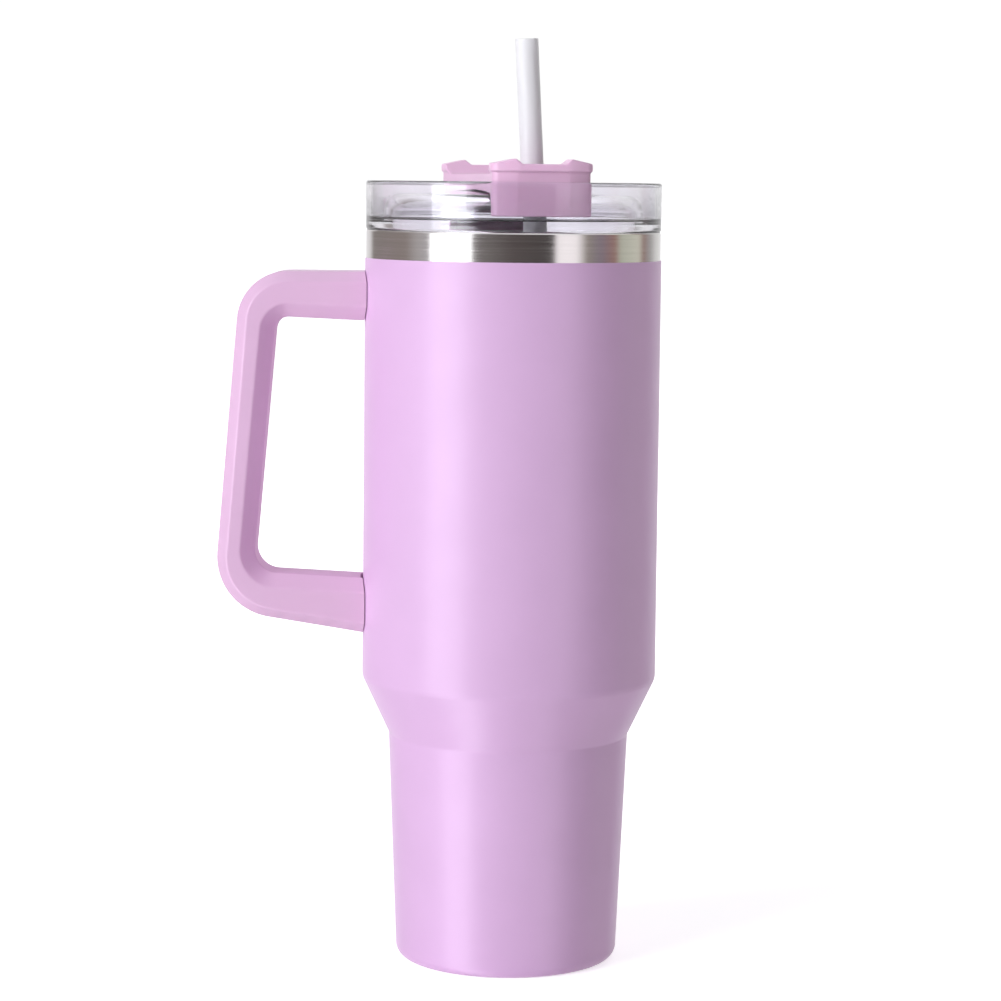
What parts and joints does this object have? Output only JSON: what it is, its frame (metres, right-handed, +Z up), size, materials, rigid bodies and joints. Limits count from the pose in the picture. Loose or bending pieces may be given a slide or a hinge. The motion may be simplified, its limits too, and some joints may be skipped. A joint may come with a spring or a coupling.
{
  "type": "insulated tumbler with lid",
  "caption": "Double-wall steel tumbler with side handle, clear press-in lid, turning cover and straw; wide upper body stepping down to a narrow cup-holder base.",
  "frame": {"origin": "centre of the foot on the surface it stands on", "axes": "+Z up along the body axis toward the mouth; the handle stands out toward -X; -Y is the side seen in the reference view"},
  "size_m": [0.149, 0.1, 0.3113],
  "materials": {
    "steel_shell": "circumferentially brushed, bare at the mouth",
    "steel_liner": "satin drawn steel",
    "steel_base": "satin",
    "steel_bracket": "plain welded sheet",
    "steel_screw": "plain",
    "steel_clip": "plain spring steel",
    "powder_coat": "smooth satin-gloss lilac pink",
    "handle_plastic": "smooth satin-gloss lilac pink",
    "grip_plastic": "fine satin",
    "lid_clear": "clear polished, faint grey-lavender",
    "seal_silicone": "translucent white silicone",
    "pad_silicone": "white silicone",
    "cover_plastic": "smooth satin pink",
    "pin_plastic": "smooth satin pink",
    "straw_clear": "translucent faint lavender",
    "seal_glass": "dull solder glass",
    "getter": "pressed grey powder"
  },
  "bodies": {
    "cup": {"outer_shell": "steel_shell", "powder_coat": "powder_coat", "inner_liner": "steel_liner", "outer_bottom": "steel_shell", "vacuum_seal_bead": "seal_glass", "getter_tablet": "getter", "base_cap": "steel_base", "handle_frame": "handle_plastic", "handle_grip_strip": "grip_plastic", "upper_bracket": "steel_bracket", "lower_bracket": "steel_bracket", "upper_screw_inner": "steel_screw", "upper_screw_outer": "steel_screw", "lower_screw_inner": "steel_screw", "lower_screw_outer": "steel_screw"},
    "lid": {"lid_body": "lid_clear", "lid_seal_ring": "seal_silicone"},
    "cover": {"turning_cover": "cover_plastic", "cover_seal_pad": "pad_silicone", "pivot_pin": "pin_plastic", "pivot_clip": "steel_clip"},
    "straw": {"straw": "straw_clear"}
  },
  "joints": [
    {"name": "lid_lift", "type": "slide", "parent": "cup", "child": "lid", "axis": [0, 0, 1], "range_m": [0, 0.26]},
    {"name": "cover_turn", "type": "hinge", "parent": "lid", "child": "cover", "pos_m": [0, 0, 0.263], "axis": [0, 0, 1], "range_deg": [-115, 0]},
    {"name": "straw_pull", "type": "slide", "parent": "lid", "child": "straw", "axis": [-0.0545, -0.049, 0.9973], "range_m": [0, 0.28]}
  ]
}
